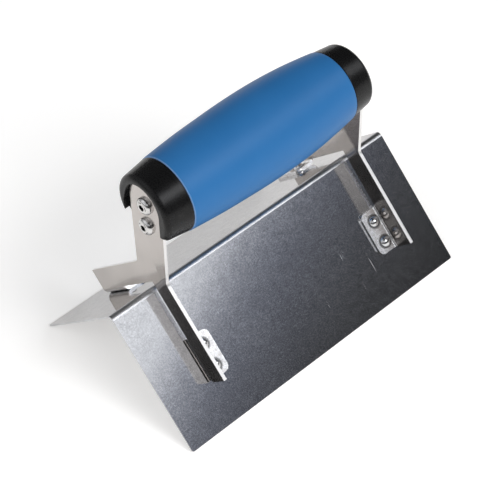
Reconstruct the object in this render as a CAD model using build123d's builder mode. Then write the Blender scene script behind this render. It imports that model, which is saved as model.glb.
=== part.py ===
from build123d import *
import os
from math import sin, cos, tan, radians

# Corner trowel: a bent blade, two riveted brackets and a barrel handle screwed
# between them.  Millimetres.  X runs along the ridge and the handle, Y across,
# Z up from the plane that the two free blade edges stand on.

# ---------------------------------------------------------------- dimensions
blade_length = 150.0
leg = 63.5               # outer leg length, free edge to the virtual ridge line
included_angle = 92.0    # angle between the two legs
sheet = 0.9              # blade sheet thickness
bend_outer = 2.2         # outer radius of the ridge bend
corner_r = 0.8           # rounding of the four free corners

bracket_t = 1.5          # bracket sheet thickness
bracket_in = {-1: 21.9, 1: 20.5}   # blade end to the bracket's outer face, left and right
strip_half = 9.2         # half width of the upright strip at its round top
strip_low = 8.7          # and where it meets the wings
arch_up = 2.2            # centre of the strip's round top above the handle axis
wing_h = 12.1            # wing's outer edge above the leg
wing_gap = 2.4           # wing's lower edge above the leg
wing_end = 45.0          # wing's end, along the leg from the virtual ridge
kink_r = 3.0             # strip to wing
notch_r = 2.5            # clearance notch over the ridge
tip_r = 1.2              # wing tip
foot_start = 25.0        # foot along the leg
foot_end = 44.6
foot_reach = 10.2        # bracket's outer face to the foot's free edge
foot_bend = 2.7          # outer radius of the foot's bend
foot_corner = 2.6

rivet_r = 1.6
rivet_s = (30.2, 40.0)   # rivet positions along the leg
rivet_x = 5.2            # bracket's outer face to the rivets
rivet_head_r = 2.4
rivet_head_h = 1.45
rivet_rim = 0.2
rivet_sink_r = 2.3       # flush tail on the working side
rivet_sink_h = 0.6

axis_above_ridge = 44.65 # handle axis above the virtual ridge
screw_dz = (1.5, -9.5)   # screw heights from the handle axis
screw_turn = (20.0, 62.0)
screw_r = 2.0
screw_len = 25.0
screw_head_r = 3.75
screw_head_h = 2.1
strip_hole_r = 2.2

cap_front = {-1: 20.2, 1: 19.6}    # blade end to the cap's outer rim, left and right
cap_left_r = (14.5, 16.2)    # cap radius at the rim and at the sleeve
cap_right_r = (14.1, 15.4)
rim_round = 2.4
recess_half = 9.6        # recess for the strip in the cap's end
recess_back = 11.2       # its half width on the back side
lip_below = 7.6          # the lips beside the strip end this far below the handle axis
sleeve_start = 32.4      # left blade end to the sleeve's ends
sleeve_stop = 119.4
sleeve_wall = 2.5
spigot_r = 12.6
spigot_left = 28.3       # ends of the core's spigots
spigot_right = 124.4
pilot_extra = 1.0
# sleeve radius against distance from the left blade end
barrel = [(32.4, 16.35), (43.5, 17.35), (51.0, 17.88), (59.0, 18.25), (67.0, 18.57), (78.0, 18.8),
          (86.0, 18.72), (94.0, 18.4), (102.5, 17.75), (112.5, 16.6), (119.4, 15.6)]

# ---------------------------------------------------------------- derived
a = radians(included_angle / 2)
ridge_z = leg * cos(a) + sheet * sin(a)      # virtual ridge height; the free edges touch z = 0
axis_z = ridge_z + axis_above_ridge
half_l = blade_length / 2
bend_s = bend_outer / tan(a)                  # bend's tangent point, down the leg
bend_z = ridge_z - bend_outer / sin(a)        # bend's centre
handle_axis = Axis((0, 0, axis_z), (1, 0, 0))
long_section = Plane(origin=(0, 0, axis_z), x_dir=(1, 0, 0), z_dir=(0, -1, 0))  # local x = X, local y = Z
X_DIR = Vector(1, 0, 0)


def mx(d):
    """distance from the left blade end -> X"""
    return d - half_l


def normal(side):
    """outward normal of a leg; side -1 is the front leg (towards -Y), +1 the back leg"""
    return Vector(0, side * cos(a), sin(a))


def down(side):
    """direction down a leg, from the ridge to its free edge"""
    return Vector(0, side * sin(a), -cos(a))


def on_leg(side, s, x, h=0.0):
    """point s down a leg, h above its outer face, at X = x"""
    return Vector(x, 0, ridge_z) + down(side) * s + normal(side) * h


def yz(side, s, h):
    p = on_leg(side, s, 0, h)
    return (p.Y, p.Z)


def foot_x(end, d):
    """X of a point d inward from a bracket's outer face; end -1 left, +1 right"""
    return end * (half_l - bracket_in[end] - d)


os.makedirs("parts", exist_ok=True)

# ---------------------------------------------------------------- blade
with BuildPart() as blade:
    with BuildSketch(Plane.YZ.offset(-half_l)):
        with BuildLine():
            Polyline(yz(-1, bend_s, -sheet), yz(-1, leg, -sheet), yz(-1, leg, 0), yz(-1, bend_s, 0))
            ThreePointArc(yz(-1, bend_s, 0), (0, bend_z + bend_outer), yz(1, bend_s, 0))
            Polyline(yz(1, bend_s, 0), yz(1, leg, 0), yz(1, leg, -sheet), yz(1, bend_s, -sheet))
            ThreePointArc(yz(1, bend_s, -sheet), (0, bend_z + bend_outer - sheet), yz(-1, bend_s, -sheet))
        make_face()
    extrude(amount=blade_length)
    corners = blade.edges().filter_by(
        lambda e: abs(e.length - sheet) < 0.02 and e.center().Z < 2 and abs(abs(e.center().X) - half_l) < 0.01)
    fillet(corners, corner_r)
    # rivet holes, countersunk on the working side
    seats = [Location(Plane(origin=on_leg(side, s, foot_x(end, rivet_x), -sheet), x_dir=(1, 0, 0), z_dir=-normal(side)))
             for side in (-1, 1) for s in rivet_s for end in (-1, 1)]
    with Locations(*seats):
        CounterSinkHole(radius=rivet_r, counter_sink_radius=rivet_sink_r, depth=sheet + 1,
                        counter_sink_angle=98.797)
blade.part.label = "blade"
export_step(blade.part, "parts/blade.step")

# ---------------------------------------------------------------- brackets
kink_z = ridge_z + (wing_h - strip_low * cos(a)) / sin(a)
arch_z = axis_z + arch_up
for end, name in ((-1, "left"), (1, "right")):
    outer_x = foot_x(end, 0)
    with BuildPart() as bracket:
        # upright strip with its round top, and the two wings that saddle the ridge
        with BuildSketch(Plane.YZ.offset(outer_x)):
            with BuildLine():
                Polyline((strip_half, arch_z), (strip_low, kink_z), yz(1, wing_end, wing_h), yz(1, wing_end, wing_gap),
                         (0, ridge_z + wing_gap / sin(a)), yz(-1, wing_end, wing_gap), yz(-1, wing_end, wing_h),
                         (-strip_low, kink_z), (-strip_half, arch_z))
                ThreePointArc((-strip_half, arch_z), (0, arch_z + strip_half), (strip_half, arch_z))
            web = make_face()
            fillet(web.vertices().filter_by(lambda v: abs(v.Y - kink_z) < 0.01), kink_r)
            tip = yz(1, wing_end, wing_h)
            fillet(web.vertices().filter_by(lambda v: abs(abs(v.X) - tip[0]) + abs(v.Y - tip[1]) < 0.01), tip_r)
            fillet(web.vertices().filter_by(lambda v: abs(v.X) < 0.01 and v.Y < kink_z), notch_r)
        extrude(amount=-end * bracket_t)
        # feet, bent inward from the wings' lower edges onto the legs
        for side in (-1, 1):
            n = normal(side)
            z_dir = (X_DIR * -end).cross(n)
            with BuildSketch(Plane(origin=on_leg(side, foot_start, outer_x), x_dir=(-end, 0, 0), z_dir=z_dir)):
                with BuildLine():
                    Polyline((0, foot_bend + 1.5), (0, foot_bend))
                    RadiusArc((0, foot_bend), (foot_bend, 0), -foot_bend)
                    Polyline((foot_bend, 0), (foot_reach, 0), (foot_reach, bracket_t), (foot_bend, bracket_t))
                    RadiusArc((foot_bend, bracket_t), (bracket_t, foot_bend), foot_bend - bracket_t)
                    Polyline((bracket_t, foot_bend), (bracket_t, foot_bend + 1.5), (0, foot_bend + 1.5))
                make_face()
            extrude(amount=(foot_end - foot_start) * (1 if z_dir.dot(down(side)) > 0 else -1))
        free = bracket.edges().filter_by(
            lambda e: abs(e.center().X - foot_x(end, foot_reach)) < 0.01 and abs(e.length - bracket_t) < 0.01)
        fillet(free, foot_corner)
        # rivet holes in the feet, screw holes in the strip
        seats = [Location(Plane(origin=on_leg(side, s, foot_x(end, rivet_x), bracket_t), x_dir=(1, 0, 0), z_dir=normal(side)))
                 for side in (-1, 1) for s in rivet_s]
        with Locations(*seats):
            Hole(rivet_r, depth=bracket_t + 0.5)
        with BuildSketch(Plane.YZ.offset(outer_x + end)):
            with Locations(*[(0, axis_z + dz) for dz in screw_dz]):
                Circle(strip_hole_r)
        extrude(amount=-end * (bracket_t + 2), mode=Mode.SUBTRACT)
    bracket.part.label = "bracket_" + name
    export_step(bracket.part, "parts/bracket_" + name + ".step")

# ---------------------------------------------------------------- rivets
dome_h = rivet_head_h - rivet_rim
dome_R = (rivet_head_r ** 2 + dome_h ** 2) / (2 * dome_h)
for end, ename in ((-1, "left"), (1, "right")):
    for side, sname in ((-1, "front"), (1, "back")):
        for s, pname in zip(rivet_s, ("upper", "lower")):
            foot = on_leg(side, s, foot_x(end, rivet_x))
            n = normal(side)
            top = bracket_t + rivet_head_h
            mid = 0.5
            mid_r = rivet_head_r * mid
            with BuildPart() as rivet:
                with BuildSketch(Plane(origin=foot, x_dir=(1, 0, 0), z_dir=X_DIR.cross(n))):
                    with BuildLine():
                        Polyline((0, top), (0, -sheet), (rivet_sink_r, -sheet), (rivet_r, -sheet + rivet_sink_h),
                                 (rivet_r, bracket_t), (rivet_head_r, bracket_t), (rivet_head_r, bracket_t + rivet_rim))
                        ThreePointArc((rivet_head_r, bracket_t + rivet_rim),
                                      (mid_r, top - dome_R + (dome_R ** 2 - mid_r ** 2) ** 0.5), (0, top))
                    make_face()
                revolve(axis=Axis(foot, n))
            label = "rivet_" + ename + "_" + sname + "_" + pname
            rivet.part.label = label
            export_step(rivet.part, "parts/" + label + ".step")

# ---------------------------------------------------------------- grip sleeve
outer_pts = [(mx(d), r) for d, r in barrel]
inner_pts = [(mx(d), r - sleeve_wall) for d, r in barrel]
with BuildPart() as grip_sleeve:
    with BuildSketch(long_section):
        with BuildLine():
            Spline(*outer_pts)
            Line(outer_pts[-1], inner_pts[-1])
            Spline(*inner_pts)
            Line(inner_pts[0], outer_pts[0])
        make_face()
    revolve(axis=handle_axis)
    fillet([e for e in grip_sleeve.edges().filter_by(GeomType.CIRCLE)
            if abs(e.radius - barrel[0][1]) < 0.01 or abs(e.radius - barrel[-1][1]) < 0.01], 0.6)
grip_sleeve.part.label = "grip_sleeve"
export_step(grip_sleeve.part, "parts/grip_sleeve.step")

# ---------------------------------------------------------------- handle core
with BuildPart() as handle_core:
    with BuildSketch(long_section):
        with BuildLine():
            Polyline(inner_pts[0], (mx(sleeve_start), spigot_r), (mx(spigot_left), spigot_r), (mx(spigot_left), 0),
                     (mx(spigot_right), 0), (mx(spigot_right), spigot_r), (mx(sleeve_stop), spigot_r), inner_pts[-1])
            Spline(*inner_pts)
        make_face()
    revolve(axis=handle_axis)
    # pilot holes for the screws, from both ends
    with BuildSketch(Plane.YZ.offset(mx(spigot_left))):
        with Locations(*[(0, axis_z + dz) for dz in screw_dz]):
            Circle(screw_r)
    extrude(amount=bracket_in[-1] + screw_len + pilot_extra - spigot_left, mode=Mode.SUBTRACT)
    with BuildSketch(Plane.YZ.offset(mx(spigot_right))):
        with Locations(*[(0, axis_z + dz) for dz in screw_dz]):
            Circle(screw_r)
    extrude(amount=-(spigot_right - (blade_length - bracket_in[1] - screw_len - pilot_extra)), mode=Mode.SUBTRACT)
handle_core.part.label = "handle_core"
export_step(handle_core.part, "parts/handle_core.step")

# ---------------------------------------------------------------- end caps
for end, name, radii, joint_x, spigot_x in ((-1, "left", cap_left_r, mx(sleeve_start), mx(spigot_left)),
                                            (1, "right", cap_right_r, mx(sleeve_stop), mx(spigot_right))):
    front_x = end * (half_l - cap_front[end])
    floor_x = foot_x(end, bracket_t)
    with BuildPart() as cap:
        with BuildSketch(long_section):
            with BuildLine():
                Polyline((front_x, 0), (front_x, radii[0]), (joint_x, radii[1]), (joint_x, spigot_r),
                         (spigot_x, spigot_r), (spigot_x, 0), close=True)
            make_face()
        revolve(axis=handle_axis)
        rim = [e for e in cap.edges().filter_by(GeomType.CIRCLE) if abs(e.radius - radii[0]) < 0.01]
        fillet(rim, rim_round)
        seam = [e for e in cap.edges().filter_by(GeomType.CIRCLE) if abs(e.radius - radii[1]) < 0.01]
        fillet(seam, 0.35)
        # arch-shaped recess for the strip, open at the bottom
        with BuildSketch(Plane.YZ.offset(floor_x)):
            with Locations((0, arch_z)):
                Circle(recess_half)
            with Locations((0, arch_z - 15)):
                Rectangle(2 * recess_half, 30)
            with BuildLine():
                Polyline((0, arch_z + 2), (recess_half, arch_z + 2), (recess_back, arch_z - 4), (recess_back, arch_z - 30),
                         (0, arch_z - 30), close=True)
            make_face()
            with Locations((0, axis_z - lip_below - 15)):
                Rectangle(60, 30)
        extrude(amount=end * 6, mode=Mode.SUBTRACT)
        with BuildSketch(Plane.YZ.offset(floor_x)):
            with Locations(*[(0, axis_z + dz) for dz in screw_dz]):
                Circle(strip_hole_r)
        extrude(amount=-end * abs(floor_x - spigot_x), mode=Mode.SUBTRACT)
    cap.part.label = "end_cap_" + name
    export_step(cap.part, "parts/end_cap_" + name + ".step")

# ---------------------------------------------------------------- screws
for end, ename in ((-1, "left"), (1, "right")):
    for dz, turn, pname in zip(screw_dz, screw_turn, ("upper", "lower")):
        seat_x = foot_x(end, 0)
        centre = Vector(seat_x, 0, axis_z + dz)
        with BuildPart() as screw:
            # local x runs inward along the screw, local y is the radius
            with BuildSketch(Plane(origin=centre, x_dir=(-end, 0, 0), z_dir=(0, end, 0))):
                with BuildLine():
                    Polyline((-screw_head_h, 0), (screw_len, 0), (screw_len - 3, screw_r), (0, screw_r),
                             (0, screw_head_r), (-0.7, screw_head_r))
                    ThreePointArc((-0.7, screw_head_r), (-1.72, 3.05), (-screw_head_h, 1.4))
                    Line((-screw_head_h, 1.4), (-screw_head_h, 0))
                make_face()
            revolve(axis=Axis(centre, (1, 0, 0)))
            # cross recess
            with BuildSketch(Plane(origin=(seat_x + end * screw_head_h, 0, axis_z + dz), x_dir=(0, 1, 0), z_dir=(end, 0, 0))):
                with Locations(Location((0, 0, 0), turn)):
                    Rectangle(5.0, 1.5)
                    Rectangle(1.5, 5.0)
            extrude(amount=-1.5, taper=8, mode=Mode.SUBTRACT)
        label = "screw_" + ename + "_" + pname
        screw.part.label = label
        export_step(screw.part, "parts/" + label + ".step")
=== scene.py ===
import math

import bpy
import bmesh
from mathutils import Matrix, Vector

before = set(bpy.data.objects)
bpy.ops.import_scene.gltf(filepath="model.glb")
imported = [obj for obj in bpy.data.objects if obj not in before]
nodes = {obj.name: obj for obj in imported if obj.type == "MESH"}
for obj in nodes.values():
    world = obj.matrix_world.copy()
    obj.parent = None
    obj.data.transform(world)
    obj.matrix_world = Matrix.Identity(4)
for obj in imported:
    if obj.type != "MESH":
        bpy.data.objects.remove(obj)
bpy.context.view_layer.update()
scene = bpy.context.scene


# ------------------------------------------------------------------ helpers
def direction(az, el):
    """Unit vector at azimuth az from -Y toward +X, and elevation el, in degrees."""
    a, e = math.radians(az), math.radians(el)
    return Vector((math.sin(a) * math.cos(e), -math.cos(a) * math.cos(e), math.sin(e)))


class Tree:
    """Short calls for a node tree."""

    def __init__(self, tree):
        self.t = tree
        tree.nodes.clear()

    def add(self, kind, **props):
        n = self.t.nodes.new(kind)
        for k, v in props.items():
            setattr(n, k, v)
        return n

    def put(self, socket, value):
        if isinstance(value, bpy.types.NodeSocket):
            self.t.links.new(value, socket)
        elif hasattr(socket, "default_value"):
            socket.default_value = value

    def math(self, op, a, b=None, c=None, clamp=False):
        n = self.add("ShaderNodeMath", operation=op, use_clamp=clamp)
        for i, v in enumerate((a, b, c)):
            if v is not None:
                self.put(n.inputs[i], v)
        return n.outputs[0]

    def vec(self, op, a, b=None):
        n = self.add("ShaderNodeVectorMath", operation=op)
        self.put(n.inputs[0], a)
        if b is not None:
            self.put(n.inputs[1], b)
        return n.outputs["Value"] if op in ("DOT_PRODUCT", "LENGTH", "DISTANCE") else n.outputs[0]

    def span(self, value, lo, hi, to_lo=0.0, to_hi=1.0, smooth=False):
        n = self.add("ShaderNodeMapRange", clamp=True)
        if smooth:
            n.interpolation_type = "SMOOTHSTEP"
        self.put(n.inputs["Value"], value)
        for name, v in (("From Min", lo), ("From Max", hi), ("To Min", to_lo), ("To Max", to_hi)):
            self.put(n.inputs[name], v)
        return n.outputs["Result"]

    def noise(self, vector, scale, detail=3.0, rough=0.5, distort=0.0):
        n = self.add("ShaderNodeTexNoise")
        self.put(n.inputs["Vector"], vector)
        n.inputs["Scale"].default_value = scale
        n.inputs["Detail"].default_value = detail
        n.inputs["Roughness"].default_value = rough
        n.inputs["Distortion"].default_value = distort
        return n.outputs["Fac"]

    def stretch(self, vector, sx, sy, sz):
        n = self.add("ShaderNodeMapping")
        self.put(n.inputs["Vector"], vector)
        n.inputs["Scale"].default_value = (sx, sy, sz)
        return n.outputs["Vector"]

    def mix(self, fac, a, b):
        n = self.add("ShaderNodeMix", data_type="RGBA")
        self.put(n.inputs["Factor"], fac)
        ins = [s for s in n.inputs if s.type == "RGBA"]
        self.put(ins[0], a)
        self.put(ins[1], b)
        return [s for s in n.outputs if s.type == "RGBA"][0]

    def bump(self, height, strength, distance, normal=None):
        n = self.add("ShaderNodeBump")
        self.put(n.inputs["Height"], height)
        n.inputs["Strength"].default_value = strength
        n.inputs["Distance"].default_value = distance
        if normal is not None:
            self.put(n.inputs["Normal"], normal)
        return n.outputs["Normal"]


def material(name):
    m = bpy.data.materials.new(name)
    m.use_nodes = True
    t = Tree(m.node_tree)
    out = t.add("ShaderNodeOutputMaterial")
    p = t.add("ShaderNodeBsdfPrincipled")
    t.t.links.new(p.outputs[0], out.inputs["Surface"])
    co = t.add("ShaderNodeTexCoord").outputs["Object"]
    return m, t, p, co


# ---------------------------------------------------------------- materials
def blade_steel():
    """Satin stainless sheet: fine grain, faint rolling streaks down the legs, a few scratches."""
    m, t, p, co = material("blade_steel")
    grain = t.noise(co, 1500.0, 3.0, 0.65)
    mottle = t.noise(co, 260.0, 4.0, 0.6)
    cloud = t.noise(co, 28.0, 3.0, 0.5)
    streak = t.noise(t.stretch(co, 1500.0, 45.0, 45.0), 1.0, 3.0, 0.6)
    # short scratches, thin across and long down the leg, only in a few patches
    lines = t.noise(t.stretch(co, 2100.0, 70.0, 70.0), 1.0, 1.0, 0.4)
    line = t.span(lines, 0.735, 0.775)
    patch = t.span(t.noise(co, 34.0, 1.0, 0.5), 0.60, 0.68)
    scratch = t.math("MULTIPLY", line, patch)
    tone = t.math("ADD", t.span(grain, 0.3, 0.7, -0.65, 0.65), t.span(mottle, 0.3, 0.7, -0.3, 0.3))
    tone = t.span(tone, -0.8, 0.8)
    colour = t.mix(tone, (0.45, 0.455, 0.47, 1), (0.72, 0.725, 0.74, 1))
    colour = t.mix(scratch, colour, (0.86, 0.86, 0.88, 1))
    t.put(p.inputs["Base Color"], colour)
    p.inputs["Metallic"].default_value = 1.0
    rough = t.math("ADD", t.span(grain, 0.3, 0.7, 0.075, 0.115), t.span(cloud, 0.3, 0.7, -0.01, 0.01))
    rough = t.math("ADD", rough, t.math("MULTIPLY", scratch, 0.22))
    # the rolled ridge is worn duller than the flat legs
    sep = t.add("ShaderNodeSeparateXYZ")
    t.put(sep.inputs[0], co)
    ridge = t.math("MULTIPLY", t.span(t.math("ABSOLUTE", sep.outputs["Y"]), 0.0014, 0.0018, 1.0, 0.0, smooth=True),
                   t.span(sep.outputs["Z"], 0.0405, 0.0410))
    rough = t.math("ADD", rough, t.math("MULTIPLY", ridge, 0.30))
    t.put(p.inputs["Roughness"], rough)
    height = t.math("ADD", t.math("MULTIPLY", grain, 0.6), t.math("MULTIPLY", streak, 0.4))
    height = t.math("SUBTRACT", height, t.math("MULTIPLY", scratch, 0.8))
    t.put(p.inputs["Normal"], t.bump(height, 0.45, 0.00001))
    p.inputs["Specular Tint"].default_value = (0.80, 0.79, 0.78, 1)
    return m


def bracket_steel():
    """Pressed sheet: satin outer faces; lighter feet, their brightness a painted highlight; faces between the brackets
    duller and painted darker as painted shade.
    """
    m, t, p, co = material("bracket_steel")
    grain = t.noise(co, 1700.0, 2.0, 0.6)
    speck = t.noise(co, 620.0, 3.0, 0.6)
    streak = t.noise(t.stretch(co, 60.0, 1500.0, 60.0), 1.0, 3.0, 0.6)
    cloud = t.noise(co, 55.0, 3.0, 0.5)
    sep = t.add("ShaderNodeSeparateXYZ")
    t.put(sep.inputs[0], co)
    ay = t.math("ABSOLUTE", sep.outputs["Y"])
    # height above the leg's outer face
    rise = t.math("MULTIPLY", t.math("SUBTRACT", sep.outputs["Z"], 0.044758), math.sin(math.radians(46)))
    rise = t.math("ADD", rise, t.math("MULTIPLY", ay, math.cos(math.radians(46))))
    between = t.math("MULTIPLY", t.span(sep.outputs["X"], -0.0526, -0.0520), t.span(sep.outputs["X"], 0.0534, 0.0540, 1.0, 0.0))
    foot = t.math("MULTIPLY", t.span(rise, 0.0019, 0.0027, 1.0, 0.0, smooth=True), between)
    inner_shade_and_dull = t.math("MULTIPLY", between, t.span(rise, 0.0105, 0.0125))
    colour = t.mix(t.span(cloud, 0.3, 0.7), (0.47, 0.437, 0.415, 1), (0.53, 0.497, 0.473, 1))
    # painted highlight: the feet are painted lighter than the rest of the same sheet, with speckle
    colour = t.mix(t.math("MULTIPLY", foot, t.span(speck, 0.25, 0.60, 0.35, 1.0)), colour, (0.78, 0.78, 0.79, 1))
    # painted shade: a dark ring round the rivet heads
    along = t.math("ADD", t.math("MULTIPLY", ay, math.sin(math.radians(46))),
                   t.math("MULTIPLY", t.math("SUBTRACT", 0.044758, sep.outputs["Z"]), math.cos(math.radians(46))))
    dx = t.math("MINIMUM", t.math("ABSOLUTE", t.math("ADD", sep.outputs["X"], 0.0479)),
                t.math("ABSOLUTE", t.math("SUBTRACT", sep.outputs["X"], 0.0493)))
    ds = t.math("MINIMUM", t.math("ABSOLUTE", t.math("SUBTRACT", along, 0.0302)),
                t.math("ABSOLUTE", t.math("SUBTRACT", along, 0.0400)))
    away = t.math("SQRT", t.math("ADD", t.math("MULTIPLY", dx, dx), t.math("MULTIPLY", ds, ds)))
    rivet_ring_shade = t.math("MULTIPLY", t.span(away, 0.0027, 0.0036, 0.9, 0.0, smooth=True), foot)
    colour = t.mix(rivet_ring_shade, colour, (0.14, 0.14, 0.14, 1))
    # painted shade: the inner faces between the brackets are painted darker, not only duller
    colour = t.mix(inner_shade_and_dull, colour, (0.19, 0.175, 0.177, 1))
    # sheared edges of the sheet are rougher than its faces, and painted lighter as a painted highlight
    face = t.add("ShaderNodeSeparateXYZ")
    t.put(face.inputs[0], t.add("ShaderNodeTexCoord").outputs["Normal"])
    edge_highlight_and_rough = t.math("MULTIPLY", t.span(t.math("ABSOLUTE", face.outputs["X"]), 0.2, 0.4, 1.0, 0.0), t.span(rise, 0.0019, 0.0027))
    colour = t.mix(edge_highlight_and_rough, colour, (0.86, 0.85, 0.84, 1))
    t.put(p.inputs["Base Color"], colour)
    p.inputs["Metallic"].default_value = 1.0
    rough = t.math("ADD", t.span(grain, 0.3, 0.7, 0.12, 0.18), t.span(cloud, 0.3, 0.7, -0.02, 0.03))
    rough = t.math("ADD", rough, t.math("MULTIPLY", foot, 0.08))
    rough = t.math("ADD", rough, t.math("MULTIPLY", edge_highlight_and_rough, 0.20))
    t.put(p.inputs["Roughness"], t.math("ADD", rough, t.math("MULTIPLY", inner_shade_and_dull, 0.12)))
    height = t.math("ADD", t.math("MULTIPLY", grain, 0.5), t.math("MULTIPLY", streak, 0.5))
    # the pressed wings and feet lie a few degrees off square, as folded sheet does
    wing = t.math("MULTIPLY", t.span(face.outputs["X"], -0.95, -0.85, 1.0, 0.0), t.span(rise, 0.0110, 0.0130, 1.0, 0.0, smooth=True))
    lean = t.math("MULTIPLY", wing, t.span(sep.outputs["X"], -0.04, 0.04, 0.052, 0.032))
    lean_y = t.math("MULTIPLY", lean, t.span(sep.outputs["Y"], -0.006, 0.006, -1.0, 1.0))
    lean_z = t.math("ADD", lean, t.math("MULTIPLY", foot, 0.042))
    off = t.add("ShaderNodeCombineXYZ")
    t.put(off.inputs["Y"], lean_y)
    t.put(off.inputs["Z"], lean_z)
    tilted = t.vec("NORMALIZE", t.vec("ADD", t.bump(height, 0.3, 0.000008), off.outputs[0]))
    t.put(p.inputs["Normal"], tilted)
    return m


def rivet_steel():
    m, t, p, co = material("rivet_steel")
    grain = t.noise(co, 1900.0, 3.0, 0.6)
    wear = t.noise(co, 420.0, 3.0, 0.6)
    t.put(p.inputs["Base Color"], t.mix(t.span(wear, 0.3, 0.7), (0.60, 0.60, 0.60, 1), (0.76, 0.76, 0.77, 1)))
    p.inputs["Metallic"].default_value = 1.0
    t.put(p.inputs["Roughness"], t.span(wear, 0.3, 0.7, 0.16, 0.28))
    t.put(p.inputs["Normal"], t.bump(grain, 0.4, 0.00002))
    return m


def screw_steel():
    m, t, p, co = material("screw_steel")
    grain = t.noise(co, 1500.0, 3.0, 0.6)
    wear = t.noise(co, 500.0, 3.0, 0.6)
    sep = t.add("ShaderNodeSeparateXYZ")
    t.put(sep.inputs[0], co)
    # painted shade in the cross recess: inside 2.45 mm of the axis and below the crown
    r2 = []
    for z in (0.090908, 0.079908):
        dz = t.math("SUBTRACT", sep.outputs["Z"], z)
        r2.append(t.math("ADD", t.math("MULTIPLY", dz, dz), t.math("MULTIPLY", sep.outputs["Y"], sep.outputs["Y"])))
    near = t.span(t.math("SQRT", t.math("MINIMUM", r2[0], r2[1])), 0.00245, 0.00255, 1.0, 0.0)
    deep = t.math("MULTIPLY", t.span(sep.outputs["X"], -0.05502, -0.05492), t.span(sep.outputs["X"], 0.05632, 0.05642, 1.0, 0.0))
    recess_painted_shade = t.math("MULTIPLY", near, deep)
    colour = t.mix(t.span(wear, 0.3, 0.7), (0.55, 0.54, 0.53, 1), (0.74, 0.73, 0.72, 1))
    t.put(p.inputs["Base Color"], t.mix(recess_painted_shade, colour, (0.035, 0.033, 0.032, 1)))
    p.inputs["Metallic"].default_value = 1.0
    t.put(p.inputs["Roughness"], t.span(wear, 0.3, 0.7, 0.18, 0.30))
    t.put(p.inputs["Normal"], t.bump(grain, 0.3, 0.00002))
    return m


def grip_rubber():
    """Satin blue soft grip: very fine pebbled skin, slight colour drift."""
    m, t, p, co = material("grip_rubber")
    skin = t.noise(co, 2300.0, 2.0, 0.5)
    drift = t.noise(co, 40.0, 3.0, 0.5)
    sep = t.add("ShaderNodeSeparateXYZ")
    t.put(sep.inputs[0], co)
    colour = t.mix(t.span(drift, 0.3, 0.7), (0.022, 0.138, 0.350, 1), (0.026, 0.150, 0.376, 1))
    # a painted highlight along the moulded edge at one end, painted shade in the seam gap at the other
    colour = t.mix(t.span(sep.outputs["X"], -0.04235, -0.04215, 0.75, 0.0), colour, (0.22, 0.36, 0.62, 1))
    colour = t.mix(t.span(sep.outputs["X"], 0.0440, 0.0442, 0.0, 0.85), colour, (0.008, 0.02, 0.05, 1))
    t.put(p.inputs["Base Color"], colour)
    t.put(p.inputs["Roughness"], t.math("ADD", t.span(skin, 0.3, 0.7, 0.40, 0.48), t.span(drift, 0.3, 0.7, -0.02, 0.02)))
    p.inputs["Specular IOR Level"].default_value = 0.23
    t.put(p.inputs["Normal"], t.bump(skin, 0.25, 0.00003))
    return m


def cap_plastic():
    """Black moulded plastic, satin, with light handling marks."""
    m, t, p, co = material("cap_plastic")
    skin = t.noise(co, 1700.0, 3.0, 0.6)
    wear = t.noise(co, 230.0, 4.0, 0.65)
    mark = t.span(wear, 0.60, 0.72)
    t.put(p.inputs["Base Color"], t.mix(mark, (0.0062, 0.0062, 0.0064, 1), (0.016, 0.016, 0.016, 1)))
    t.put(p.inputs["Roughness"], t.math("ADD", t.span(skin, 0.3, 0.7, 0.24, 0.32), t.math("MULTIPLY", mark, -0.05)))
    p.inputs["Specular IOR Level"].default_value = 0.20
    t.put(p.inputs["Normal"], t.bump(t.math("ADD", skin, t.math("MULTIPLY", wear, 0.8)), 0.35, 0.00006))
    return m


def core_plastic():
    m, t, p, co = material("core_plastic")
    skin = t.noise(co, 900.0, 3.0, 0.6)
    t.put(p.inputs["Base Color"], t.mix(t.span(skin, 0.3, 0.7), (0.010, 0.010, 0.010, 1), (0.016, 0.016, 0.016, 1)))
    t.put(p.inputs["Roughness"], t.span(skin, 0.3, 0.7, 0.45, 0.55))
    t.put(p.inputs["Normal"], t.bump(skin, 0.3, 0.00005))
    return m


MATS = {
    "blade": blade_steel(),
    "bracket": bracket_steel(),
    "rivet": rivet_steel(),
    "screw": screw_steel(),
    "grip": grip_rubber(),
    "end": cap_plastic(),
    "handle": core_plastic(),
}


def give(obj, mat):
    if not obj.material_slots:
        obj.data.materials.append(mat)
    for s in obj.material_slots:
        s.material = mat


for name, obj in nodes.items():
    give(obj, MATS[name.split("_")[0]])

# ---------------------------------------------------- softened edges on CAD
EDGE = {
    "blade": 0.00012,
    "bracket": 0.00022,
    "end": 0.0002,
}
for name, obj in nodes.items():
    kind = name.split("_")[0]
    weld = obj.modifiers.new("weld", "WELD")
    weld.merge_threshold = 0.000001
    if kind in EDGE:
        b = obj.modifiers.new("edge", "BEVEL")
        b.width = EDGE[kind]
        b.segments = 2
        b.limit_method = "ANGLE"
        b.angle_limit = math.radians(40)
        b.harden_normals = False
        b.use_clamp_overlap = True
        w = obj.modifiers.new("normals", "WEIGHTED_NORMAL")
        w.keep_sharp = True

# -------------------------------------------------------------------- stage
def disc(name, radius, rings, around, height=None):
    bm = bmesh.new()
    rows = []
    for i in range(rings + 1):
        r = radius * i / rings
        if i == 0:
            rows.append([bm.verts.new((0, 0, 0 if height is None else height(0)))])
            continue
        rows.append([
            bm.verts.new((
                r * math.cos(2 * math.pi * k / around),
                r * math.sin(2 * math.pi * k / around),
                0 if height is None else height(r),
            ))
            for k in range(around)
        ])
    for k in range(around):
        bm.faces.new((rows[0][0], rows[1][k], rows[1][(k + 1) % around]))
    for i in range(1, rings):
        for k in range(around):
            a, b = rows[i], rows[i + 1]
            bm.faces.new((a[k], b[k], b[(k + 1) % around], a[(k + 1) % around]))
    me = bpy.data.meshes.new(name)
    bm.to_mesh(me)
    bm.free()
    o = bpy.data.objects.new(name, me)
    scene.collection.objects.link(o)
    for f in me.polygons:
        f.use_smooth = True
    return o


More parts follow.
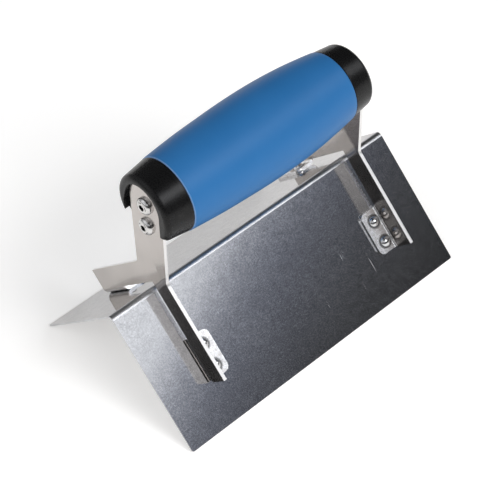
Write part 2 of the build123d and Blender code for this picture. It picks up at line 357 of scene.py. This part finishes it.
FLOOR_R = 6.0
floor = disc("floor", FLOOR_R, 12, 96)
floor.location.z = -0.0002
m, t, p, co = material("floor")
tone = t.noise(co, 3.0, 3.0, 0.5)
t.put(p.inputs["Base Color"], t.mix(t.span(tone, 0.3, 0.7), (0.84, 0.83, 0.815, 1), (0.86, 0.85, 0.835, 1)))
p.inputs["Roughness"].default_value = 0.9
p.inputs["Specular IOR Level"].default_value = 0.1
p.inputs["Emission Color"].default_value = (1.0, 0.985, 0.965, 1)
p.inputs["Emission Strength"].default_value = 0.36
give(floor, m)

dome = disc("backdrop", FLOOR_R, 24, 96, lambda r: math.sqrt(max(0.0, FLOOR_R**2 - r * r)))
m = bpy.data.materials.new("backdrop")
m.use_nodes = True
t = Tree(m.node_tree)
out = t.add("ShaderNodeOutputMaterial")
em = t.add("ShaderNodeEmission")
co = t.add("ShaderNodeTexCoord").outputs["Object"]
sep = t.add("ShaderNodeSeparateXYZ")
t.put(sep.inputs[0], co)
t.put(em.inputs["Color"], t.mix(t.span(sep.outputs["Z"], 0.0, FLOOR_R), (0.86, 0.86, 0.855, 1), (0.72, 0.73, 0.75, 1)))
t.t.links.new(em.outputs[0], out.inputs["Surface"])
give(dome, m)
dome.visible_diffuse = False
dome.visible_glossy = False
dome.visible_transmission = False
dome.visible_shadow = False

# ------------------------------------------------------------------- camera
eye = Vector((-0.33007, -0.36751, 0.56179))
right = Vector((0.73123, -0.68187, -0.01873)).normalized()
back = Vector((-0.45227, -0.5052, 0.735)).normalized()
up = back.cross(right).normalized()
right = up.cross(back).normalized()
cam_data = bpy.data.cameras.new("camera")
cam = bpy.data.objects.new("camera", cam_data)
scene.collection.objects.link(cam)
cam.matrix_world = Matrix((
    (right.x, up.x, back.x, eye.x),
    (right.y, up.y, back.y, eye.y),
    (right.z, up.z, back.z, eye.z),
    (0, 0, 0, 1),
))
cam_data.sensor_width = 36.0
cam_data.lens = 126.01
cam_data.clip_start = 0.01
cam_data.clip_end = 50.0
cam_data.dof.use_dof = False
scene.camera = cam

# ------------------------------------------------------------------- lights
def area(name, az, el, dist, size, power, colour=(1, 1, 1), glossy=False):
    d = bpy.data.lights.new(name, "AREA")
    d.shape = "DISK"
    d.size = size
    d.energy = power
    d.color = colour
    o = bpy.data.objects.new(name, d)
    scene.collection.objects.link(o)
    v = direction(az, el)
    o.location = v * dist + Vector((0, 0, 0.05))
    o.rotation_euler = (-v).to_track_quat("-Z", "Y").to_euler()
    o.visible_glossy = glossy
    o.visible_camera = False
    return o


area("key", 4, 38, 1.6, 1.1, 13.0, (0.985, 0.99, 1.0))
area("fill_left", -85, 45, 1.8, 1.2, 2.5)
area("fill_back", 175, 50, 1.8, 1.4, 1.0)

world = bpy.data.worlds.new("studio")
scene.world = world
world.use_nodes = True
t = Tree(world.node_tree)
out = t.add("ShaderNodeOutputWorld")
bg = t.add("ShaderNodeBackground")
t.t.links.new(bg.outputs[0], out.inputs["Surface"])
look = t.vec("NORMALIZE", t.add("ShaderNodeTexCoord").outputs["Generated"])


def lobe(az, el, lo, hi, level):
    d = t.vec("DOT_PRODUCT", look, tuple(direction(az, el)))
    return t.math("MULTIPLY", t.span(d, lo, hi, smooth=True), level)


# the main softbox: its lower edge tips up toward the right and fades like a diffuser's
edge_az, edge_el, tip = 30.0, 33.8, 13.0
a, e = math.radians(edge_az), math.radians(edge_el)
tan_el = Vector((-math.sin(a) * math.sin(e), math.cos(a) * math.sin(e), math.cos(e)))
tan_az = Vector((math.cos(a), math.sin(a), 0.0))
pole = tan_el * math.cos(math.radians(tip)) - tan_az * math.sin(math.radians(tip))
above = t.vec("DOT_PRODUCT", look, tuple(pole))
tail = t.math("MULTIPLY", t.math("EXPONENT", t.math("MULTIPLY", above, 1.0 / 0.036)), 0.67)
tail = t.math("MINIMUM", tail, 0.40)
core = t.math("MULTIPLY", t.span(above, -0.026, -0.016, smooth=True), t.span(above, -0.008, 0.012, 0.82, 0.62, smooth=True))
core = t.math("ADD", core, t.math("MULTIPLY", lobe(17, 46, 0.965, 0.992, 5.0), t.span(above, 0.03, 0.12)))
soft = t.math("MULTIPLY", lobe(25, 40, 0.90, 0.97, 1.0), t.math("ADD", tail, core))
total = t.math("ADD", soft, lobe(-100, 40, 0.70, 0.97, 0.7))
total = t.math("ADD", total, lobe(-150, 35, 0.70, 0.97, 0.42))
total = t.math("ADD", total, lobe(66, 36, 0.965, 0.992, 3.4))
total = t.math("ADD", total, lobe(149, 4, 0.985, 0.996, 1.2))
# a second, smaller softbox to the left, its lower edge the mirror of the first
pole_left = Vector((-pole.x, pole.y, pole.z))
left = t.vec("DOT_PRODUCT", look, tuple(pole_left))
glow = t.math("MINIMUM", t.math("MULTIPLY", t.math("EXPONENT", t.math("MULTIPLY", left, 1.0 / 0.036)), 0.67), 0.40)
glow = t.math("ADD", glow, t.span(left, -0.026, -0.010, 0.0, 0.75, smooth=True))
total = t.math("ADD", total, t.math("MULTIPLY", lobe(-31, 38, 0.955, 0.985, 1.0), glow))
total = t.math("ADD", total, 0.03)
t.put(bg.inputs["Strength"], total)
# the faded border of the softbox is a little bluer than its middle
dusk = t.math("MULTIPLY", t.span(above, -0.11, -0.06), t.span(above, -0.03, -0.016, 1.0, 0.0))
dusk = t.math("MULTIPLY", dusk, lobe(25, 40, 0.90, 0.97, 1.0))
t.put(bg.inputs["Color"], t.mix(dusk, (0.955, 0.97, 1.0, 1), (0.84, 0.90, 1.12, 1)))

scene.view_settings.view_transform = "Standard"
scene.view_settings.look = "None"
scene.view_settings.exposure = 0.0
scene.view_settings.gamma = 1.0
